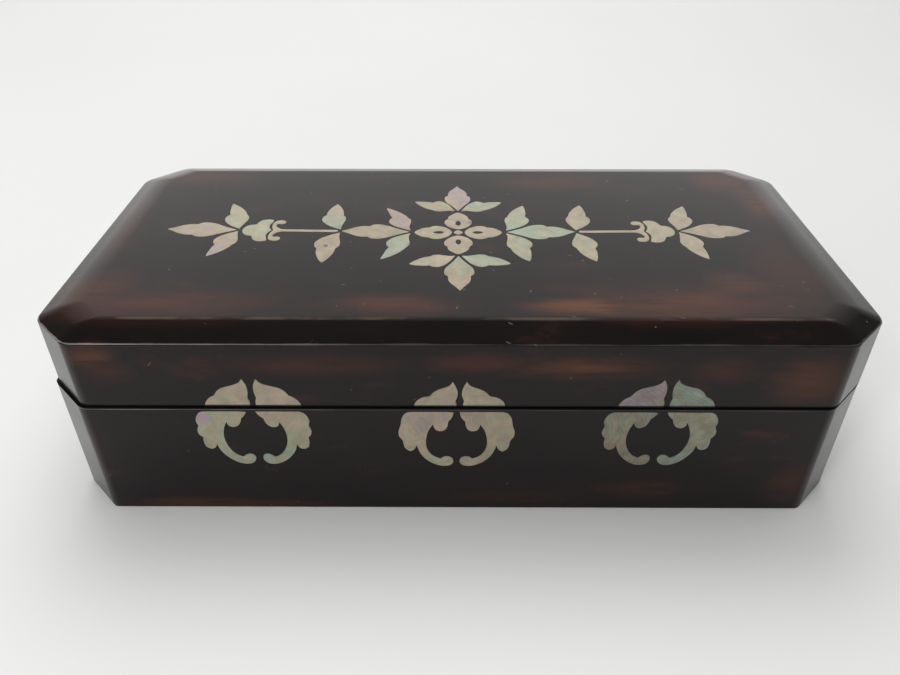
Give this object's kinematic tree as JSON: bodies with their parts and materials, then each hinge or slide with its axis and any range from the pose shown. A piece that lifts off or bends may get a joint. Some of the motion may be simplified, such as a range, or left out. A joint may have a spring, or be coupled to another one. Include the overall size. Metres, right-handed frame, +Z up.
{
  "type": "inlaid lacquer box",
  "caption": "Long eight-sided wooden box in dark lacquer with flush shell flowers on its top and front, an inner locating lip and a lift-off lid.",
  "frame": {"origin": "middle of the underside, on the surface that the box stands on", "axes": "+X to the right along the length, +Y to the back, +Z up; the inlaid front faces -Y"},
  "size_m": [0.2546, 0.1276, 0.0696],
  "materials": {
    "lacquer": "near-black brown lacquer, semi-gloss, rubbed through to red-brown along the edges",
    "lacquer_inside": "dark red-brown lacquer, satin",
    "shell_warm": "mother-of-pearl, cream, with faint pink and green bands",
    "shell_green": "mother-of-pearl, pale green and grey, with faint bands",
    "shell_pink": "mother-of-pearl, pale pink and lilac, with faint bands"
  },
  "bodies": {
    "base": {"base_bottom": "lacquer_inside", "base_liner": "lacquer_inside", "base_wall_front": "lacquer", "base_wall_back": "lacquer", "base_wall_left": "lacquer", "base_wall_right": "lacquer", "base_corner_fl": "lacquer", "base_corner_fr": "lacquer", "base_corner_bl": "lacquer", "base_corner_br": "lacquer", "scroll_left_a": "shell_warm", "scroll_left_b": "shell_green", "scroll_mid_a": "shell_warm", "scroll_mid_b": "shell_warm", "scroll_right_a": "shell_green", "scroll_right_b": "shell_green"},
    "lid": {"lid_panel": "lacquer", "lid_rail_front": "lacquer", "lid_rail_back": "lacquer", "lid_rail_left": "lacquer", "lid_rail_right": "lacquer", "lid_corner_fl": "lacquer", "lid_corner_fr": "lacquer", "lid_corner_bl": "lacquer", "lid_corner_br": "lacquer", "flower_eye": "shell_warm", "petal_left": "shell_warm", "petal_right": "shell_green", "petal_top": "shell_warm", "petal_bottom": "shell_warm", "crown_top_mid": "shell_pink", "crown_top_left": "shell_warm", "crown_top_right": "shell_green", "crown_bottom_mid": "shell_green", "crown_bottom_left": "shell_warm", "crown_bottom_right": "shell_green", "arm_leaf_left": "shell_warm", "arm_leaf_right": "shell_green", "stem_left": "shell_pink", "stem_right": "shell_pink", "bud_left": "shell_warm", "bud_right": "shell_warm", "end_leaf_left": "shell_pink", "end_leaf_right": "shell_pink", "near_up_left": "shell_pink", "near_up_right": "shell_green", "near_down_left": "shell_green", "near_down_right": "shell_green", "mid_up_left": "shell_green", "mid_up_right": "shell_warm", "mid_down_left": "shell_warm", "mid_down_right": "shell_green", "far_up_left": "shell_green", "far_up_right": "shell_warm", "far_down_left": "shell_warm", "far_down_right": "shell_warm", "upper_motif_left": "shell_warm", "upper_motif_mid": "shell_warm", "upper_motif_right": "shell_pink"}
  },
  "joints": [
    {"name": "lid_lift", "type": "slide", "parent": "base", "child": "lid", "axis": [0, 0, 1], "range_m": [0, 0.09]}
  ]
}
